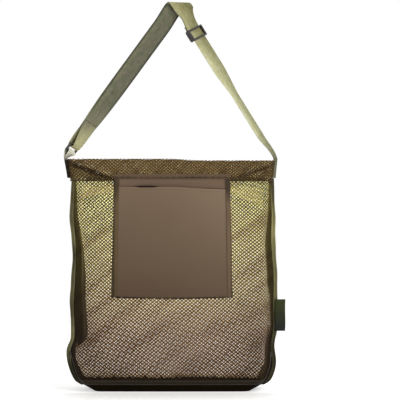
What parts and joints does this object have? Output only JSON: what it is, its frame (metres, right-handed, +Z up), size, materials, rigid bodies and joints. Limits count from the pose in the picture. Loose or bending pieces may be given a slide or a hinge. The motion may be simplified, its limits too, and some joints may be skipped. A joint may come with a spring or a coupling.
{
  "type": "mesh foraging bag",
  "caption": "Soft mesh tote for gathering wild food, with a flat front pocket, bound side seams and a webbing strap that runs through a ring and a slider.",
  "frame": {"origin": "on the floor under the middle of the base", "axes": "+Z up, the pocket side faces -Y, +X to the right seen from the front"},
  "size_m": [0.3691, 0.1144, 0.6491],
  "materials": {
    "net": "open diamond net of matt nylon",
    "base_cloth": "close net, matt",
    "binding": "folded grosgrain tape",
    "tag": "plain woven tag",
    "pocket": "satin coated nylon",
    "pocket_tape": "stitched tape",
    "webbing": "woven webbing",
    "hardware": "moulded black plastic"
  },
  "bodies": {
    "bag": {"front_panel": "net", "back_panel": "net", "front_hem": "net", "back_hem": "net", "base_panel": "base_cloth", "base_binding": "binding", "left_side_binding": "binding", "right_side_binding": "binding", "side_tag": "tag", "pocket_backing": "pocket", "pocket_front": "pocket", "pocket_top_tape": "pocket_tape", "pocket_left_tape": "pocket_tape", "pocket_right_tape": "pocket_tape", "strap_anchor": "webbing", "strap_right_root": "webbing", "strap_left_root": "webbing", "ring_tab": "webbing"},
    "ring": {"ring": "hardware"},
    "strap": {"strap_outer": "webbing", "strap_return": "webbing", "strap_tail": "webbing"},
    "slider": {"slider": "hardware", "slider_loop": "webbing"}
  },
  "joints": [
    {"name": "strap_swing", "type": "hinge", "parent": "bag", "child": "strap", "pos_m": [0, 0, 0.42], "axis": [1, 0, 0], "range_deg": [-110, 110], "deforming": ["strap_right_root", "strap_left_root"]},
    {"name": "ring_pivot", "type": "hinge", "parent": "bag", "child": "ring", "pos_m": [-0.17165, 0, 0.398], "axis": [0.2764, 0.9395, -0.2022], "range_deg": [-9, 9]},
    {"name": "slider_travel", "type": "slide", "parent": "strap", "child": "slider", "axis": [0.5278, 0.0061, -0.8493], "range_m": [0, 0.045], "deforming": ["strap_tail"]}
  ]
}
